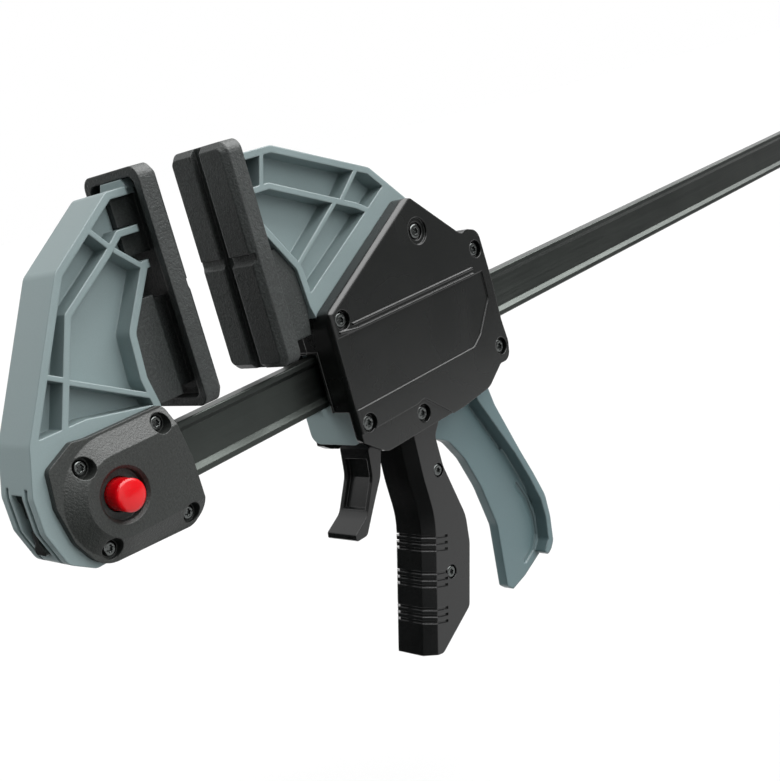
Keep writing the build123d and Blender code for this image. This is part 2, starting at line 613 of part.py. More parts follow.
def make_housing_far():
    """Mirror of the near shell, without seats for screw heads and cut back at its lower front corner."""
    shell = mirror(make_housing_near(), Plane.XZ)
    for place in (*ROOT_SCREWS, JAW_SCREW, *BACK_SCREWS, GRIP_ROOT_SCREW):
        shell += cross_rod(place, SCREW_RADIUS + 0.5, SHELL_IN - 0.5, SHELL_Y)
    return shell - block((HOUSING_FRONT - 1, 68.0), (0, HOUSING_WIDTH), (HOUSING_BOTTOM, SLOT_LOW))


def make_housing_screws():
    end = SHELL_IN - 0.6
    seat = -SHELL_Y + HOUSING_SEAT_DEPTH
    screws = [screw(place, LARGE_HEAD, seat, end) for place in (ROOT_SCREWS[0], JAW_SCREW, *BACK_SCREWS)]
    screws.append(screw(ROOT_SCREWS[1], LARGE_HEAD, seat, LUG_HALF - 2))
    screws.append(screw(GRIP_ROOT_SCREW, LARGE_HEAD, seat + STEP_DEPTH, end))
    return Compound(screws)


# ---- grip ------------------------------------------------------------------------------------------------
GRIP_FRONT = ((93.0, -25.5), (91.3, -60.0, 60), (91.8, -80.0, 40), (70.5, -138.0))
GRIP_BACK = ((103.5, -129.0, 4), (114.8, -101.0, 12), (116.8, -88.0, 18), (110.5, -60.0, 20),
             (110.5, -45.0, 5), (121.0, -33.0, 3), (121.0, -25.5, 2))


def grip_half(inset):
    """Near half, solid; inset moves its front and its side inwards."""
    front = [(x + inset, *rest) for x, *rest in GRIP_FRONT]
    half = side_slab(profile(*front, (79.0, -140.3, 4), *GRIP_BACK), -GRIP_HALF + inset, 0)
    side = half.faces().sort_by(Axis.Y)[0]
    edges = [e for e in side.edges() if (e @ 0.5).X < 94 and (e @ 0.5).Z > -134]
    return chamfer(edges, GRIP_CHAMFER)


def grip_grooves():
    """Three groups of three finger grooves, square to the grip's front below its knee."""
    knee_x, knee_z, _ = GRIP_FRONT[-2]
    bars = []
    for middle in GRIP_RIB_GROUPS:
        for step in (-1, 0, 1):
            z = middle + step * GRIP_RIB_PITCH
            x = knee_x - (knee_z - z) * math.tan(math.radians(GRIP_LEAN))
            groove = Box(2 * GRIP_GROOVE_REACH, GRIP_WIDTH + 1, GRIP_GROOVE)
            bars.append(Pos(x, 0, z) * Rot(0, GRIP_LEAN, 0) * groove)
    return Part() + bars


def make_handle_near():
    half = grip_half(0)
    half -= grip_grooves() - grip_half(GRIP_GROOVE_DEPTH)
    inner = [(x + GRIP_FRONT_WALL, z) for x, z, *_ in GRIP_FRONT[1:-1]]
    top = (inner[0][0], 0)
    slot = profile(top, *inner, (79.0, -145.0), (130.0, -145.0), (130.0, 0))
    half -= side_slab(slot, -GRIP_SLOT, 1)
    for place in GRIP_SCREWS:
        half += cross_rod(place, GRIP_BOSS, -GRIP_SLOT - 1, 0)
        half -= cross_rod(place, SCREW_RADIUS + FIT, -GRIP_WIDTH, 1)
        half -= cross_rod(place, GRIP_SEAT, -GRIP_WIDTH, -GRIP_HALF + SEAT_DEPTH)
    return half - cross_rod(GRIP_ROOT_SCREW, SCREW_RADIUS + FIT, -GRIP_WIDTH, 1)


def make_handle_far():
    half = mirror(make_handle_near(), Plane.XZ)
    for place in GRIP_SCREWS:
        half += cross_rod(place, GRIP_BOSS, GRIP_HALF - 3, GRIP_HALF)
    return half


def make_handle_screws():
    seat = -GRIP_HALF + SEAT_DEPTH
    return Compound([screw(place, SMALL_HEAD, seat, GRIP_HALF - 3.2) for place in GRIP_SCREWS])


# ---- squeeze lever ---------------------------------------------------------------------------------------
def make_squeeze_lever():
    """Web with a hub and a nose above it, and the palm flange, which thickens to two cheeks at its top."""
    web = profile((112.0, -46.0, 1), (119.0, -50.0, 8), (129.0, -55.5, 12), (137.0, -68.0, 20),
                  (143.5, -86.0, 30), (148.0, -109.0, 12), (144.0, -141.0, 1.5), (147.5, -144.5, 1.5),
                  (159.0, -142.5), (174.0, -137.5), (179.0, -118.0), (172.0, -84.0), (158.0, -46.0),
                  (155.0, -34.0), (150.0, -26.0, 3), (138.0, -24.0), (128.0, -26.0), (118.0, -39.0))
    palm = profile((157.5, -33.5, 1), (160.5, -49.0, 10), (171.0, -78.0, 40), (177.0, -93.0, 25),
                   (181.8, -107.0, 12), (181.8, -119.0, 12), (179.5, -132.0, 4), (174.0, PALM_END, 1),
                   (171.0, PALM_END + 3), (176.0, -129.5, 3), (178.2, -118.0, 10), (177.8, -108.0, 12),
                   (173.3, -94.0), (167.0, -78.0, 8), (149.0, -42.0, 1), (148.0, -33.5, 1))
    pivot_x, pivot_z = LEVER_PIVOT
    half = LEVER_WEB / 2
    wide = LEVER_WIDTH / 2
    end = PALM_END - 1
    back_view = profile((-wide, end, PALM_ROUND), (wide, end, PALM_ROUND), (wide, 0), (-wide, 0))
    lever = side_slab(web, -half, half)
    lever += side_slab(palm, -wide, wide) & end_slab(back_view, HOUSING_FRONT, HOUSING_BACK + HOUSING_WIDTH)
    lever += cross_rod(LEVER_PIVOT, LEVER_HUB, -wide, wide)
    lever += cross_rod((pivot_x, pivot_z + NOSE_HEIGHT), NOSE_RADIUS, -half, half)
    neck = (pivot_x - NOSE_RADIUS, pivot_x + NOSE_RADIUS)
    lever += block(neck, (-half, half), (pivot_z, pivot_z + NOSE_HEIGHT))
    course = [(169.5, -96.5), (174.0, -106.5), (175.6, -117.5), (174.3, -126.5), (169.5, -133.0),
              (162.0, -135.8)]
    line = strip(course, LEVER_LINE) + [Pos(*end) * Circle(LEVER_LINE / 2) for end in (course[0], course[-1])]
    line += strip([(149.5, -45.0), (164.3, -74.6)], LEVER_SEAM)
    for low, high in ((-LEVER_WEB, -half + LINE_DEPTH), (half - LINE_DEPTH, LEVER_WEB)):
        lever -= side_slab(line, low, high)
    return lever - cross_rod(LEVER_PIVOT, LEVER_PIN + FIT, -LEVER_WIDTH, LEVER_WIDTH)


def make_lever_pin():
    end = SHELL_IN - SEAT_GAP
    return cross_rod(LEVER_PIVOT, LEVER_PIN, -end, end)


# ---- what grips the bar ----------------------------------------------------------------------------------
def plate_hole(x_low, x_high):
    half = BAR_SIDE + PLATE_GAP
    top = BAR_TOP + PLATE_GAP
    return block((x_low, x_high), (-half, half), (-top, top))


def make_drive_plates():
    """Two hardened plates side by side, pushed along the bar by the lever's nose."""
    half = PLATE_WIDTH / 2
    plates = []
    for x in (NOSE_FACE, NOSE_FACE + PLATE + DRIVE_PLATE_GAP):
        face = profile((-half, PLATE_BOTTOM, 2), (half, PLATE_BOTTOM, 2), (half, PLATE_TOP, 2),
                       (-half, PLATE_TOP, 2))
        plates.append(end_slab(face, x, x + PLATE) - plate_hole(x - 1, x + PLATE + 1))
    return Compound(plates)


def make_drive_spring():
    """Round the bar, from the drive plates to the housing's back wall."""
    start = NOSE_FACE + 2 * PLATE + DRIVE_PLATE_GAP + SEAT_GAP
    length = HOUSING_BACK - HOUSING_WALL - SEAT_GAP - start
    return Pos(start, 0, 0) * Rot(0, 90, 0) * coil(DRIVE_SPRING, length, 4, SPRING_WIRE)


def tilted(part):
    """Turn a piece about the brake plate's rocking edge to where the plate jams on the bar."""
    x, z = BRAKE_PIVOT
    return Pos(x, 0, z) * Rot(0, BRAKE_TILT, 0) * Pos(-x, 0, -z) * part


def make_brake_plate():
    """Rocks on its rounded top edge; its tang is moulded into the release trigger."""
    x, z = BRAKE_PIVOT
    half = PLATE / 2
    plate = block((x - half, x + half), (-PLATE_WIDTH / 2, PLATE_WIDTH / 2), (SLOT_LOW, z))
    plate += cross_rod(BRAKE_PIVOT, half, -PLATE_WIDTH / 2, PLATE_WIDTH / 2)
    plate += block((x - half, x + half), (-BRAKE_TANG / 2, BRAKE_TANG / 2), (BRAKE_BOTTOM, SLOT_LOW))
    return tilted(plate - plate_hole(x - PLATE, x + PLATE))


def make_release_trigger():
    """Curved trigger with a hollow front and a hooked toe; its block sits inside the housing."""
    half = TRIGGER_WIDTH / 2
    side = profile((73.2, -17.0), (73.2, -32.0), (71.0, -36.0, 2), (69.3, -48.0, 12), (60.0, -62.5, 8),
                   (50.5, -67.3, 1), (50.0, -70.2, 1), (57.0, -70.4, 3), (66.5, -58.5, 8), (74.0, -49.5, 12),
                   (78.8, -38.0, 3), (84.0, -33.0), (84.0, -17.0))
    trigger = side_slab(side, -half, half)
    trigger = fillet([e for e in trigger.edges().filter_by(Axis.Y) if (e @ 0).Z > -18], 0.5)
    pocket = profile((55.0, -40.0), (73.0, -40.0), (71.3, -49.0), (63.6, -60.5), (55.0, -60.5))
    trigger -= side_slab(pocket, -half + TRIGGER_RIM, half - TRIGGER_RIM)
    return trigger - make_brake_plate()


def make_brake_spring():
    """Between the trigger's block and the rib of the housing."""
    start = 84.0 + SEAT_GAP
    length = SPRING_RIB[0] - SEAT_GAP - start
    return Pos(start, 0, -20.5) * Rot(0, 90, 0) * coil(3.3, length, 5, 0.9)


os.makedirs("parts", exist_ok=True)
save(make_bar(), "bar")
save(make_fixed_jaw(), "fixed_jaw")
save(make_fixed_pad(), "fixed_pad")
save(make_moving_pad(), "moving_pad")
save(make_cover_near(), "jaw_cover_near")
save(make_cover_far(), "jaw_cover_far")
save(make_cover_screws(), "jaw_cover_screws")
save(make_button(), "release_button")
save(make_latch_spring(), "latch_spring")
save(make_moving_jaw(), "moving_jaw")
save(shell_details(make_housing_near()), "housing_near")
save(make_housing_far(), "housing_far")
save(make_housing_screws(), "housing_screws")
save(make_handle_near(), "handle_near")
save(make_handle_far(), "handle_far")
save(make_handle_screws(), "handle_screws")
save(make_squeeze_lever(), "squeeze_lever")
save(make_lever_pin(), "lever_pin")
save(make_drive_plates(), "drive_plates")
save(make_drive_spring(), "drive_spring")
save(make_brake_plate(), "brake_plate")
save(make_release_trigger(), "release_trigger")
save(make_brake_spring(), "brake_spring")
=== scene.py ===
import math
import bmesh
import bpy
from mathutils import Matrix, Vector


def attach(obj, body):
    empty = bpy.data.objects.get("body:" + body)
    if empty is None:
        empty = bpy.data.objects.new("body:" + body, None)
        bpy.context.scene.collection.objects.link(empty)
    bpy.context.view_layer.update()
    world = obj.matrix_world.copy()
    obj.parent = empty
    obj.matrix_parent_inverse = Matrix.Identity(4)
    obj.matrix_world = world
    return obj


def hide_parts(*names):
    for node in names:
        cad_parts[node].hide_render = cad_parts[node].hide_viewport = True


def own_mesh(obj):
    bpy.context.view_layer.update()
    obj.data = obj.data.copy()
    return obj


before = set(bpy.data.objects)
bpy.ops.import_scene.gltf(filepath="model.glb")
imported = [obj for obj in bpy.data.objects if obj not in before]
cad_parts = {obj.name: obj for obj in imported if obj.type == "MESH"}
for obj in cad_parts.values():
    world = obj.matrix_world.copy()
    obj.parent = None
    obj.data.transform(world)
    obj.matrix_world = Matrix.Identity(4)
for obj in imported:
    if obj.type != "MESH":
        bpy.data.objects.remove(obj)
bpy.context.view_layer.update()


# ---- bar -----------------------------------------------------------------------------------------
# The rail that both jaws sit on: carbon steel rolled to an I section and blackened in a hot oxide
# bath. The keyholes at its ends are punched, and the fixed jaw's latch locks in one of them.
BAR_BLACK = "#3b3f3d"
BAR_WORN = "#505451"
BAR_EDGE = 0.0004                      # radius that the rolls leave, in metres
ROLLING_LINES = (0.05, 0.0009, 0.0009)    # length and width of the lines that the rolls leave
OXIDE_SPECKS = 900.0                   # to the metre: 1.1 mm across, coarser than life to show
OXIDE_CLOUDS = 28.0                    # to the metre: 36 mm across
OXIDE_RELIEF = 0.000025
NOISE_LOW, NOISE_HIGH = 0.3, 0.7       # nearly all of a noise texture lies between these


def linear(hex_colour):
    """sRGB hex to linear RGBA."""
    channels = [int(hex_colour[i:i + 2], 16) / 255 for i in (1, 3, 5)]
    return [c / 12.92 if c <= 0.04045 else ((c + 0.055) / 1.055) ** 2.4 for c in channels] + [1.0]


def add_node(tree, kind, settings=None, **links):
    """Add a node. settings fill its properties; links fill its sockets, by name or as n and a
    number, with a value or with another node's output."""
    node = tree.nodes.new(kind)
    for name, value in (settings or {}).items():
        setattr(node, name, value)
    for name, value in links.items():
        key = name.replace("_", " ")
        numbered = key[0] == "n" and key[1:].isdigit()
        socket = node.inputs[int(key[1:]) if numbered else key]
        if isinstance(value, bpy.types.NodeSocket):
            tree.links.new(value, socket)
        else:
            socket.default_value = value
    return node


def new_material(name):
    material = bpy.data.materials.new(name)
    material.use_nodes = True
    material.node_tree.nodes.clear()
    return material, material.node_tree


def dress(material, *nodes):
    """Give CAD nodes a finish."""
    for node in nodes:
        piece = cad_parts[node]
        piece.data.materials.clear()
        piece.data.materials.append(material)


def oxide_black_steel():
    """Hot-oxide steel: soft black with a satin sheen, drawn out in fine lines along the bar."""
    material, tree = new_material("hot_oxide_black_steel")
    place = add_node(tree, "ShaderNodeTexCoord").outputs["Object"]
    stretch = [1 / size for size in ROLLING_LINES]
    along_bar = add_node(tree, "ShaderNodeMapping", Vector=place, Scale=stretch)
    lines = add_node(tree, "ShaderNodeTexNoise", Vector=along_bar.outputs[0], Scale=1.0, Detail=3.0)
    speck = add_node(tree, "ShaderNodeTexNoise", Vector=place, Scale=OXIDE_SPECKS, Detail=2.0)
    cloud = add_node(tree, "ShaderNodeTexNoise", Vector=place, Scale=OXIDE_CLOUDS, Detail=3.0)
    tone = add_node(tree, "ShaderNodeMix", {"data_type": "RGBA"}, n0=cloud.outputs[0],
                    n6=linear(BAR_BLACK), n7=linear(BAR_WORN))
    height = add_node(tree, "ShaderNodeMath", {"operation": "ADD"}, n0=lines.outputs[0],
                      n1=speck.outputs[0])
    edge = add_node(tree, "ShaderNodeBevel", {"samples": 4}, Radius=BAR_EDGE)
    bump = add_node(tree, "ShaderNodeBump", Height=height.outputs[0], Distance=OXIDE_RELIEF,
                    Normal=edge.outputs[0])
    sheen = add_node(tree, "ShaderNodeMapRange", n0=lines.outputs[0], n1=NOISE_LOW, n2=NOISE_HIGH,
                     n3=0.3, n4=0.42)
    skin = add_node(tree, "ShaderNodeBsdfPrincipled", Base_Color=tone.outputs[2], Metallic=1.0,
                    Roughness=sheen.outputs[0], Normal=bump.outputs[0])
    add_node(tree, "ShaderNodeOutputMaterial", Surface=skin.outputs[0])
    return material


dress(oxide_black_steel(), "bar")


# ---- fixed jaw -----------------------------------------------------------------------------------
# One casting with a flange all round, ribs and recessed pockets on both sides, pushed onto the
# bar's end. It is moulded in glass-filled nylon, coloured grey right through.
JAW_GREY = "#7b8a8b"
MELT_CLOUDS = 30.0                     # to the metre: 33 mm across
SEAM_EDGE = 0.00002                    # radius of an edge at a seam
SEAM_START, SEAM_END = 0.0008, 0.0025  # distances from it between which the radius grows


def moulded(name, colour, rough, grain, relief, speckle, edge=0.0005, cloud=0.03, seam=0):
    """Injection-moulded plastic. grain is the width of the tool's texture and relief its depth, in
    metres; speckle is how far the colour varies from grain to grain, cloud how far it does over
    centimetres as the melt flowed, and edge the radius that the tool leaves on every edge. seam is
    1 or -1, by its side, for a half whose seam at the middle plane shows no edge."""
    material, tree = new_material(name)
    base = linear(colour)
    place = add_node(tree, "ShaderNodeTexCoord").outputs["Object"]
    fine = add_node(tree, "ShaderNodeTexNoise", Vector=place, Scale=1 / grain, Detail=3.0,
                    Roughness=0.6)
    flow = add_node(tree, "ShaderNodeTexNoise", Vector=place, Scale=MELT_CLOUDS, Detail=3.0,
                    Distortion=0.6)
    dots = add_node(tree, "ShaderNodeMapRange", n0=fine.outputs[0], n1=NOISE_LOW, n2=NOISE_HIGH,
                    n3=1 - speckle, n4=1 + speckle)
    drift = add_node(tree, "ShaderNodeMapRange", n0=flow.outputs[0], n1=NOISE_LOW, n2=NOISE_HIGH,
                     n3=1 - cloud, n4=1 + cloud)
    shade = add_node(tree, "ShaderNodeMath", {"operation": "MULTIPLY"}, n0=dots.outputs[0],
                     n1=drift.outputs[0])
    tone = add_node(tree, "ShaderNodeVectorMath", {"operation": "SCALE"}, n0=base[:3],
                    Scale=shade.outputs[0])
    sheen = add_node(tree, "ShaderNodeMapRange", n0=flow.outputs[0], n1=NOISE_LOW, n2=NOISE_HIGH,
                     n3=rough * 0.9, n4=rough * 1.1)
    soft_edge = add_node(tree, "ShaderNodeBevel", {"samples": 16}, Radius=edge)
    if seam:
        out = add_node(tree, "ShaderNodeVectorMath", {"operation": "DOT_PRODUCT"}, n0=place,
                       n1=(0, seam, 0))
        radius = add_node(tree, "ShaderNodeMapRange", n0=out.outputs["Value"], n1=SEAM_START,
                          n2=SEAM_END, n3=SEAM_EDGE, n4=edge)
        tree.links.new(radius.outputs[0], soft_edge.inputs["Radius"])
    bump = add_node(tree, "ShaderNodeBump", Height=fine.outputs[0], Distance=relief,
                    Normal=soft_edge.outputs[0])
    skin = add_node(tree, "ShaderNodeBsdfPrincipled", Base_Color=tone.outputs[0],
                    Roughness=sheen.outputs[0], IOR=1.5, Normal=bump.outputs[0])
    add_node(tree, "ShaderNodeOutputMaterial", Surface=skin.outputs[0])
    return material


# Glass-filled nylon: satin, even, with faint clouds where the fibres come to the surface.
grey_nylon = moulded("grey_glass_filled_nylon", JAW_GREY, rough=0.42, grain=0.0006,
                     relief=0.000012, speckle=0.025, edge=0.0009)
dress(grey_nylon, "fixed_jaw")


# ---- pads ----------------------------------------------------------------------------------------
# A soft pad on each jaw, pushed on from the front. Thermoplastic rubber, moulded in a spark-eroded
# tool that leaves it matt and grained all over, gripping face and edges alike.
PAD_BLACK = "#242827"
pad_rubber = moulded("black_grained_rubber", PAD_BLACK, rough=0.5, grain=0.0009, relief=0.00026,
                     speckle=0.5, edge=0.001)
dress(pad_rubber, "fixed_pad", "moving_pad")


# ---- covers of the fixed jaw's hub ---------------------------------------------------------------
# Two plates, one on each side of the hub, that hold the latch in, pulled tight by the same four
# screws. Black ABS with a fine grain from a spark-eroded tool.
COVER_BLACK = "#222523"
cover_abs = moulded("black_grained_abs", COVER_BLACK, rough=0.46, grain=0.0008, relief=0.00022,
                    speckle=0.45, edge=0.0006)
dress(cover_abs, "jaw_cover_near", "jaw_cover_far")


# ---- release button ------------------------------------------------------------------------------
# Pressed to draw the latch out of the bar, so that the jaw can be taken off. Red ABS from a
# polished tool, and so glossy, with a spring of bright drawn wire behind it.
BUTTON_RED = "#d4000e"
WIRE_DARK = "#9fa1a3"
WIRE_BRIGHT = "#b7b8b9"
DIE_STREAKS = 1800.0                   # to the metre: 0.6 mm apart
button_abs = moulded("red_polished_abs", BUTTON_RED, rough=0.22, grain=0.002, relief=0.000006,
                     speckle=0.02, edge=0.002)
dress(button_abs, "release_button")


def drawn_wire():
    """Hard-drawn spring steel: bright, with the fine streaks of the die."""
    material, tree = new_material("bright_drawn_spring_wire")
    place = add_node(tree, "ShaderNodeTexCoord").outputs["Object"]
    streak = add_node(tree, "ShaderNodeTexNoise", Vector=place, Scale=DIE_STREAKS, Detail=3.0)
    sheen = add_node(tree, "ShaderNodeMapRange", n0=streak.outputs[0], n1=NOISE_LOW, n2=NOISE_HIGH,
                     n3=0.22, n4=0.34)
    tone = add_node(tree, "ShaderNodeMix", {"data_type": "RGBA"}, n0=streak.outputs[0],
                    n6=linear(WIRE_DARK), n7=linear(WIRE_BRIGHT))
    skin = add_node(tree, "ShaderNodeBsdfPrincipled", Base_Color=tone.outputs[2], Metallic=1.0,
                    Roughness=sheen.outputs[0])
    add_node(tree, "ShaderNodeOutputMaterial", Surface=skin.outputs[0])
    return material


spring_wire = drawn_wire()


def make_spring(name, node, body):
    """Copy of a CAD spring in drawn wire, fixed to the given body, which stands in for the node."""
    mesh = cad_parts[node].data.copy()
    mesh.materials.clear()
    mesh.materials.append(spring_wire)
    spring = bpy.data.objects.new(name, mesh)
    bpy.context.scene.collection.objects.link(spring)
    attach(spring, body)
    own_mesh(spring)
    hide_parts(node)


make_spring("latch_coil", "latch_spring", "bar")


# ---- moving jaw ----------------------------------------------------------------------------------
# The second ribbed casting. It runs down through the housing and round the bar to the lug
# underneath, and slides with the carriage. The same grey nylon as the fixed jaw.
dress(grey_nylon, "moving_jaw")


# ---- housing -------------------------------------------------------------------------------------
# Two half shells over the carriage's works, screwed together from the near side. Black ABS; the
# panel on the near side is bare.
HOUSING_BLACK = "#0f1110"
SLOPE_OUT = Vector((-0.479, 0.0, 0.8778))    # way that the sloped front face looks
SLOPE_PLACE = -0.003                   # how far out along it that face lies
HALF_WIDTH = 0.02
ROUND_EDGE = 0.0028                    # radius of the slope's long edge
ROUND_STEPS = 6
SAME_POINT = 0.000001                  # points closer than this count as one
SHELL_SMOOTH = math.radians(30)        # sharper corners than this stay crisp
housing_abs = moulded("black_satin_abs", HOUSING_BLACK, rough=0.27, grain=0.0011, relief=0.000006,
                      speckle=0.05, edge=0.0007)


def round_slope_edge(node, name, side):
    """Copy of a half shell with the long edge beside its slope rounded: the faces next to the edge
    are cut into strips, and the strips' corners drawn onto the round. side is -1 for the near half
    and 1 for the far."""
    shape = bmesh.new()
    shape.from_mesh(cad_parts[node].data)
    bmesh.ops.remove_doubles(shape, verts=shape.verts, dist=2 * SAME_POINT)
    across = Vector((0, side, 0))
    for step in range(ROUND_STEPS):
        inset = ROUND_EDGE * (1 - math.tan(math.radians(45 * step / ROUND_STEPS)))
        for out, place in ((SLOPE_OUT, SLOPE_PLACE), (across, HALF_WIDTH)):
            parts = shape.verts[:] + shape.edges[:] + shape.faces[:]
            cut = out * (place - inset) / out.length_squared
            bmesh.ops.bisect_plane(shape, geom=parts, dist=SAME_POINT, plane_co=cut, plane_no=out)
    for corner in shape.verts:
        deep = SLOPE_PLACE - SLOPE_OUT.dot(corner.co)
        wide = HALF_WIDTH - across.dot(corner.co)
        out, aside = ROUND_EDGE - deep, ROUND_EDGE - wide
        past = math.hypot(out, aside)
        if out > 0 and aside > 0 and past > ROUND_EDGE:
            pull = 1 - ROUND_EDGE / past
            corner.co -= SLOPE_OUT * out * pull + across * aside * pull
    mesh = bpy.data.meshes.new(name)
    shape.to_mesh(mesh)
    shape.free()
    for layer in ("custom_normal", "sharp_edge", "sharp_face"):
        if layer in mesh.attributes:
            mesh.attributes.remove(mesh.attributes[layer])
    mesh.shade_smooth()
    mesh.set_sharp_from_angle(angle=SHELL_SMOOTH)
    mesh.materials.clear()
    mesh.materials.append(housing_abs)
    shell = bpy.data.objects.new(name, mesh)
    bpy.context.scene.collection.objects.link(shell)
    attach(shell, "carriage")
    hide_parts(node)


round_slope_edge("housing_near", "housing_shell_near", -1)
round_slope_edge("housing_far", "housing_shell_far", 1)


# ---- grip and trigger ----------------------------------------------------------------------------
# The pistol grip is two halves with finger grooves across its front; the release trigger in front
# of it tips the brake plate. Both are black ABS from a polished tool, and the grip's seam is tight.
GRIP_BLACK = "#0f1010"
for node, side in (("handle_near", -1), ("handle_far", 1), ("release_trigger", 0)):
    grip_abs = moulded("black_polished_abs", GRIP_BLACK, rough=0.25, grain=0.0013, relief=0.000006,
                       speckle=0.05, edge=0.0005, seam=side)
    dress(grip_abs, node)


# ---- squeeze lever -------------------------------------------------------------------------------
# Squeezed towards the grip to walk the carriage along the bar: a web with a broad palm flange
# behind it, in glass-filled nylon. Its grey is darker than the jaws' as painted shade, for the
# front light that falls off towards the lever.
# painted shade: this grey is darkened for the light that falls off on the lever
LEVER_GREY_PAINTED_SHADE = "#586c6f"
lever_nylon_painted_shade = moulded("glass_filled_nylon_painted_shade", LEVER_GREY_PAINTED_SHADE, rough=0.42, grain=0.0006,
                      relief=0.000012, speckle=0.025, edge=0.0014)
dress(lever_nylon_painted_shade, "squeeze_lever")


# ---- pin and plates ------------------------------------------------------------------------------
# Inside the housing: the lever's pin, two drive plates that the lever tips against the bar, and the
# brake plate that keeps the carriage from slipping back. Punched from steel, hardened, tumbled and
# oiled, with a spring of drawn wire for each kind of plate.
PLATE_DARK = "#6c6e70"
PLATE_LIGHT = "#85878a"
TUMBLED_PITS = 1400.0                  # to the metre: 0.7 mm across
PIT_DEPTH = 0.00002
OIL_CLOUDS = 120.0                     # to the metre: 8 mm across


def hardened_plate():
    """Tumbled steel: grey, with soft pits and a sheen of oil."""
    material, tree = new_material("hardened_tumbled_steel")
    place = add_node(tree, "ShaderNodeTexCoord").outputs["Object"]
    pits = add_node(tree, "ShaderNodeTexVoronoi", Vector=place, Scale=TUMBLED_PITS)
    cloud = add_node(tree, "ShaderNodeTexNoise", Vector=place, Scale=OIL_CLOUDS, Detail=4.0)
    tone = add_node(tree, "ShaderNodeMix", {"data_type": "RGBA"}, n0=cloud.outputs[0],
                    n6=linear(PLATE_DARK), n7=linear(PLATE_LIGHT))
    bump = add_node(tree, "ShaderNodeBump", Height=pits.outputs[0], Distance=PIT_DEPTH)
    sheen = add_node(tree, "ShaderNodeMapRange", n0=cloud.outputs[0], n1=NOISE_LOW, n2=NOISE_HIGH,
                     n3=0.3, n4=0.45)
    skin = add_node(tree, "ShaderNodeBsdfPrincipled", Base_Color=tone.outputs[2], Metallic=1.0,
                    Roughness=sheen.outputs[0], Normal=bump.outputs[0])
    add_node(tree, "ShaderNodeOutputMaterial", Surface=skin.outputs[0])
    return material


dress(hardened_plate(), "lever_pin", "drive_plates", "brake_plate")
make_spring("drive_coil", "drive_spring", "carriage")
make_spring("brake_coil", "brake_spring", "carriage")


# ---- screws --------------------------------------------------------------------------------------
# Low-headed screws with a six-lobe socket, cut in steel and blackened, each in a round seat: four
# through the hub's covers, six in the housing and two in the grip.
SCREW_DARK = "#505352"
SCREW_BLACK = "#686b6a"
LATHE_RINGS = 1500.0                   # to the metre: 0.7 mm apart
RING_RELIEF = 0.000008
HEAD_STEPS = 48                        # vertices round a head
HEAD_HEIGHT = 0.0016
HEAD_SMOOTH = math.radians(40)         # sharper corners than this stay crisp
SOCKET_DEPTH = 0.0011
SOCKET_LOBES = 6.0
LOBE_DEPTH = 0.26                      # share of the radius by which the ridges come in
SHANK_RADIUS = 0.002
SHANK_STEPS = 24                       # vertices round a shank
SEPARATE_SCREWS = 0.008                # no two vertices of one screw are further apart, seen end on
# A head's rings from the middle out, each with four shares: of the head's radius, of its height, of
# the lobes and of the socket's depth.
HEAD_RINGS = ((0.0, 0.0, 0.0, 1.0), (0.42, 0.0, 1.0, 1.0), (0.47, 0.0, 1.0, 0.12),
              (0.54, 0.0, 0.8, 0.0), (0.72, 0.02, 0.0, 0.0), (0.88, 0.14, 0.0, 0.0),
              (0.97, 0.38, 0.0, 0.0), (1.0, 0.7, 0.0, 0.0), (1.0, 1.0, 0.0, 0.0))


def screw_places(node):
    """Head's middle, head's radius and length of each screw of a CAD node."""
    groups = []
    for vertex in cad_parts[node].data.vertices:
        place = vertex.co
        for group in groups:
            if math.dist((group[0].x, group[0].z), (place.x, place.z)) < SEPARATE_SCREWS:
                group.append(place)
                break
        else:
            groups.append([place])
    found = []
    for group in groups:
        low = [min(place[axis] for place in group) for axis in range(3)]
        high = [max(place[axis] for place in group) for axis in range(3)]
        middle = ((low[0] + high[0]) / 2, low[1], (low[2] + high[2]) / 2)
        found.append((middle, (high[0] - low[0]) / 2, high[1] - low[1]))
    return found


def blackened_screw_steel():
    """Blackened steel from a lathe: dark grey and glossy, with faint rings."""
    material, tree = new_material("blackened_screw_steel")
    place = add_node(tree, "ShaderNodeTexCoord").outputs["Object"]
    rings = add_node(tree, "ShaderNodeTexNoise", Vector=place, Scale=LATHE_RINGS, Detail=2.0)
    tone = add_node(tree, "ShaderNodeMix", {"data_type": "RGBA"}, n0=rings.outputs[0],
                    n6=linear(SCREW_DARK), n7=linear(SCREW_BLACK))
    bump = add_node(tree, "ShaderNodeBump", Height=rings.outputs[0], Distance=RING_RELIEF)
    sheen = add_node(tree, "ShaderNodeMapRange", n0=rings.outputs[0], n1=NOISE_LOW, n2=NOISE_HIGH,
                     n3=0.15, n4=0.25)
    skin = add_node(tree, "ShaderNodeBsdfPrincipled", Base_Color=tone.outputs[2], Metallic=1.0,
                    Roughness=sheen.outputs[0], Normal=bump.outputs[0])
    add_node(tree, "ShaderNodeOutputMaterial", Surface=skin.outputs[0])
    return material


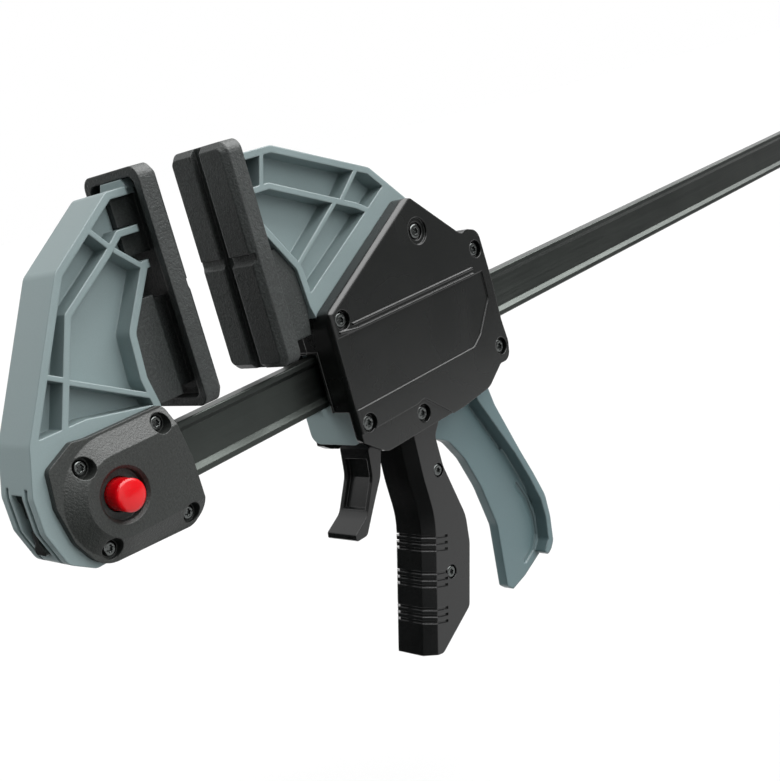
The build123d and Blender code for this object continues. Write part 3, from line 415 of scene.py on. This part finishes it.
def screw_tree(steel):
    """Heads turned round the -Y axis on the points of the mesh, and shanks behind them as long as
    the points' attribute says. Rings run from the socket's floor out over the rim and down to the
    seat."""
    tree = bpy.data.node_groups.new("star_drive_screws", "GeometryNodeTree")
    for name, kind in (("Geometry", "NodeSocketGeometry"), ("Head Radius", "NodeSocketFloat"),
                       ("Head Height", "NodeSocketFloat"), ("Socket Depth", "NodeSocketFloat"),
                       ("Lobe Depth", "NodeSocketFloat"), ("Shank Radius", "NodeSocketFloat")):
        tree.interface.new_socket(name, in_out="INPUT", socket_type=kind)
    tree.interface.new_socket("Geometry", in_out="OUTPUT", socket_type="NodeSocketGeometry")
    given = add_node(tree, "NodeGroupInput").outputs

    def maths(operation, a, b=0.0):
        return add_node(tree, "ShaderNodeMath", {"operation": operation}, n0=a, n1=b).outputs[0]

    grid = add_node(tree, "GeometryNodeMeshGrid", Vertices_X=len(HEAD_RINGS),
                    Vertices_Y=HEAD_STEPS + 1)
    index = add_node(tree, "GeometryNodeInputIndex").outputs[0]
    ring = maths("FLOOR", maths("DIVIDE", maths("ADD", index, 0.5), HEAD_STEPS + 1))
    angle = maths("MULTIPLY", maths("SUBTRACT", index, maths("MULTIPLY", ring, HEAD_STEPS + 1)),
                  math.tau / HEAD_STEPS)
    columns = []
    for column in range(len(HEAD_RINGS[0])):
        pick = add_node(tree, "GeometryNodeIndexSwitch", {"data_type": "FLOAT"}, Index=ring)
        while len(pick.index_switch_items) < len(HEAD_RINGS):
            pick.index_switch_items.new()
        for number, values in enumerate(HEAD_RINGS):
            pick.inputs[number + 1].default_value = values[column]
        columns.append(pick.outputs[0])
    out, down, lobed, sunk = columns
    turn = maths("COSINE", maths("MULTIPLY", angle, SOCKET_LOBES))
    wave = maths("MULTIPLY", maths("SUBTRACT", 1.0, turn), 0.5)
    ridge = maths("MULTIPLY", maths("MULTIPLY", wave, lobed), given["Lobe Depth"])
    pinch = maths("SUBTRACT", 1.0, ridge)
    radius = maths("MULTIPLY", maths("MULTIPLY", out, pinch), given["Head Radius"])
    depth = maths("ADD", maths("MULTIPLY", down, given["Head Height"]),
                  maths("MULTIPLY", sunk, given["Socket Depth"]))
    aside = maths("MULTIPLY", radius, maths("COSINE", angle))
    up = maths("MULTIPLY", radius, maths("SINE", angle))
    place = add_node(tree, "ShaderNodeCombineXYZ", X=aside, Y=depth, Z=up)
    turned = add_node(tree, "GeometryNodeSetPosition", Geometry=grid.outputs[0],
                      Position=place.outputs[0])
    closed = add_node(tree, "GeometryNodeMergeByDistance", Geometry=turned.outputs[0],
                      Distance=SAME_POINT)
    shank = add_node(tree, "GeometryNodeMeshCylinder", Vertices=SHANK_STEPS,
                     Radius=given["Shank Radius"], Depth=1.0)
    laid = add_node(tree, "GeometryNodeTransform", Geometry=shank.outputs[0],
                    Translation=(0, 0.5, 0), Rotation=(math.pi / 2, 0, 0))
    length = add_node(tree, "GeometryNodeInputNamedAttribute", {"data_type": "FLOAT"},
                      Name="length").outputs[0]
    behind = add_node(tree, "ShaderNodeCombineXYZ", Y=given["Head Height"])
    reach = add_node(tree, "ShaderNodeCombineXYZ", X=1.0,
                     Y=maths("SUBTRACT", length, given["Head Height"]), Z=1.0)
    heads = add_node(tree, "GeometryNodeInstanceOnPoints", Points=given["Geometry"],
                     Instance=closed.outputs[0])
    seats = add_node(tree, "GeometryNodeSetPosition", Geometry=given["Geometry"],
                     Offset=behind.outputs[0])
    shanks = add_node(tree, "GeometryNodeInstanceOnPoints", Points=seats.outputs[0],
                      Instance=laid.outputs[0], Scale=reach.outputs[0])
    both = add_node(tree, "GeometryNodeJoinGeometry")
    tree.links.new(heads.outputs[0], both.inputs[0])
    tree.links.new(shanks.outputs[0], both.inputs[0])
    real = add_node(tree, "GeometryNodeRealizeInstances", Geometry=both.outputs[0])
    steeled = add_node(tree, "GeometryNodeSetMaterial", Geometry=real.outputs[0], Material=steel)
    add_node(tree, "NodeGroupOutput", Geometry=steeled.outputs[0])
    return tree


def make_screws(name, node, body, tree):
    """One mesh of all the screws of a CAD node, which it stands for."""
    found = screw_places(node)
    mesh = bpy.data.meshes.new(name + "_points")
    mesh.from_pydata([place for place, _, _ in found], [], [])
    lengths = mesh.attributes.new("length", "FLOAT", "POINT")
    lengths.data.foreach_set("value", [length for _, _, length in found])
    holder = bpy.data.objects.new(name + "_points", mesh)
    bpy.context.scene.collection.objects.link(holder)
    modifier = holder.modifiers.new("screws", "NODES")
    modifier.node_group = tree
    sizes = {"Head Radius": found[0][1], "Head Height": HEAD_HEIGHT, "Socket Depth": SOCKET_DEPTH,
             "Lobe Depth": LOBE_DEPTH, "Shank Radius": SHANK_RADIUS}
    for item in tree.interface.items_tree:
        if item.in_out == "INPUT" and item.name in sizes:
            modifier[item.identifier] = sizes[item.name]
    evaluated = holder.evaluated_get(bpy.context.evaluated_depsgraph_get())
    screws = bpy.data.objects.new(name, bpy.data.meshes.new_from_object(evaluated))
    bpy.context.scene.collection.objects.link(screws)
    bpy.data.objects.remove(holder)
    screws.data.shade_smooth()
    screws.data.set_sharp_from_angle(angle=HEAD_SMOOTH)
    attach(screws, body)
    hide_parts(node)


star_drive = screw_tree(blackened_screw_steel())
make_screws("cover_star_screws", "jaw_cover_screws", "bar", star_drive)
make_screws("housing_star_screws", "housing_screws", "carriage", star_drive)
make_screws("grip_star_screws", "handle_screws", "carriage", star_drive)


# ---- studio --------------------------------------------------------------------------------------
# A pale seamless floor under the clamp, which hangs above it. Four broad soft lights: the key high
# on the right, one overhead, one in front and one behind on the left. Black and grey cards and a
# softbox stand out of view, and show only in the gloss.
CAMERA_PLACE = (-0.24011, -0.34906, 0.10314)
CAMERA_TURN = (77.426, 15.478, -45.016)      # degrees about X, Y and Z
SENSOR_WIDTH = 36.0                          # mm
CAMERA_LENS = 50.396                         # mm
CAMERA_SHIFT = (0.07831, -0.02806)
FLOOR_HEIGHT = -0.30
FLOOR_SIZE = 30.0
FLOOR_GREY = "#949494"                       # as the clamp sees it
FLOOR_GLOW = 0.64                            # with the light on FLOOR_DIFFUSE this makes white
FLOOR_DIFFUSE = (0.3, 0.3, 0.3, 1)
WHITE = (1, 1, 1, 1)
WORLD_LIGHT = 0.1
KEY = ((0.69, -0.38, 0.62), 34, 1.8)         # way to the light, its width in degrees, strength
OVERHEAD = ((0.06, -0.44, 0.89), 30, 1.3)
FRONT = ((0.15, -0.93, 0.34), 50, 1.9)
LEFT = ((-0.72, 0.4, 0.57), 40, 1.8)
SOFTBOX_LIGHT = 6.5
GREY_CARD_LIGHT = 0.28
CARD_LEFT = [(-0.6, -0.9, -0.3), (-0.6, 1.1, -0.3), (-0.6, 1.1, 0.5), (-0.6, -0.9, 0.5)]
CARD_UNDER_LEFT = [(-0.6, -0.9, -0.29), (-0.1, -0.9, -0.29), (-0.1, 1.1, -0.29), (-0.6, 1.1, -0.29)]
CARD_FRONT_RIGHT = [(0.1, -1.0, -0.23), (1.3, -0.13, -0.23), (1.3, -0.13, 0.35), (0.1, -1.0, 0.35)]
SOFTBOX = [(-0.4, 0.15, 1.1), (1.15, 0.3, 1.0), (1.35, -0.85, 0.55), (-0.3, -1.0, 0.75)]


def seen_white(tree):
    """1 for what the camera sees, directly, mirrored or through glass."""
    path = add_node(tree, "ShaderNodeLightPath").outputs
    mirrored = add_node(tree, "ShaderNodeMath", {"operation": "MAXIMUM"}, n0=path["Is Camera Ray"],
                        n1=path["Is Glossy Ray"])
    return add_node(tree, "ShaderNodeMath", {"operation": "MAXIMUM"}, n0=mirrored.outputs[0],
                    n1=path["Is Transmission Ray"]).outputs[0]


def studio_world():
    world = bpy.data.worlds.new("studio")
    world.use_nodes = True
    tree = world.node_tree
    tree.nodes.clear()
    strength = add_node(tree, "ShaderNodeMapRange", n0=seen_white(tree), n3=WORLD_LIGHT, n4=1.0)
    light = add_node(tree, "ShaderNodeBackground", Color=WHITE, Strength=strength.outputs[0])
    add_node(tree, "ShaderNodeOutputWorld", Surface=light.outputs[0])
    bpy.context.scene.world = world


def soft_sun(name, direction, width, strength, glossy):
    lamp = bpy.data.lights.new(name, "SUN")
    lamp.angle = math.radians(width)
    lamp.energy = strength
    holder = bpy.data.objects.new(name, lamp)
    holder.rotation_euler = Vector(direction).to_track_quat("Z", "Y").to_euler()
    holder.visible_glossy = glossy
    bpy.context.scene.collection.objects.link(holder)


def stage_sheet(name, corners, material):
    mesh = bpy.data.meshes.new(name)
    mesh.from_pydata(corners, [], [(0, 1, 2, 3)])
    mesh.materials.append(material)
    sheet = bpy.data.objects.new(name, mesh)
    bpy.context.scene.collection.objects.link(sheet)
    return sheet


def pale_paper():
    """White to the eye with the clamp's soft shadow on it; mid grey in the light it throws back."""
    material, tree = new_material("pale_paper_floor")
    shadowed = add_node(tree, "ShaderNodeBsdfDiffuse", Color=FLOOR_DIFFUSE)
    glow = add_node(tree, "ShaderNodeEmission", Color=WHITE, Strength=FLOOR_GLOW)
    seen = add_node(tree, "ShaderNodeAddShader", n0=shadowed.outputs[0], n1=glow.outputs[0])
    paper = add_node(tree, "ShaderNodeBsdfDiffuse", Color=linear(FLOOR_GREY))
    mix = add_node(tree, "ShaderNodeMixShader", n0=seen_white(tree), n1=paper.outputs[0],
                   n2=seen.outputs[0])
    add_node(tree, "ShaderNodeOutputMaterial", Surface=mix.outputs[0])
    return material


def card_face(name, strength):
    """A card's face, as bright as given in the gloss; 1 is white."""
    material, tree = new_material(name)
    light = add_node(tree, "ShaderNodeEmission", Color=WHITE, Strength=strength)
    add_node(tree, "ShaderNodeOutputMaterial", Surface=light.outputs[0])
    return material


def stand_card(name, corners, material):
    """A card that only reflections show."""
    card = stage_sheet(name, corners, material)
    card.visible_camera = False
    card.visible_diffuse = False
    card.visible_transmission = False
    card.visible_shadow = False


camera_data = bpy.data.cameras.new("camera")
camera_data.sensor_fit = "HORIZONTAL"
camera_data.sensor_width = SENSOR_WIDTH
camera_data.lens = CAMERA_LENS
camera_data.shift_x, camera_data.shift_y = CAMERA_SHIFT
camera = bpy.data.objects.new("camera", camera_data)
camera.location = CAMERA_PLACE
camera.rotation_euler = [math.radians(angle) for angle in CAMERA_TURN]
bpy.context.scene.collection.objects.link(camera)
bpy.context.scene.camera = camera
bpy.context.scene.view_settings.view_transform = "Standard"
studio_world()
soft_sun("key", *KEY, True)
soft_sun("overhead", *OVERHEAD, True)
soft_sun("front", *FRONT, False)
soft_sun("left", *LEFT, False)
half_floor = FLOOR_SIZE / 2
stage_sheet("floor", [(x * half_floor, y * half_floor, FLOOR_HEIGHT)
                      for x, y in ((-1, -1), (1, -1), (1, 1), (-1, 1))], pale_paper())
card_black = card_face("black_card", 0.0)
stand_card("card_left", CARD_LEFT, card_black)
stand_card("card_under_left", CARD_UNDER_LEFT, card_black)
stand_card("card_front_right", CARD_FRONT_RIGHT, card_face("grey_card", GREY_CARD_LIGHT))
stand_card("softbox", SOFTBOX, card_face("softbox_cloth", SOFTBOX_LIGHT))
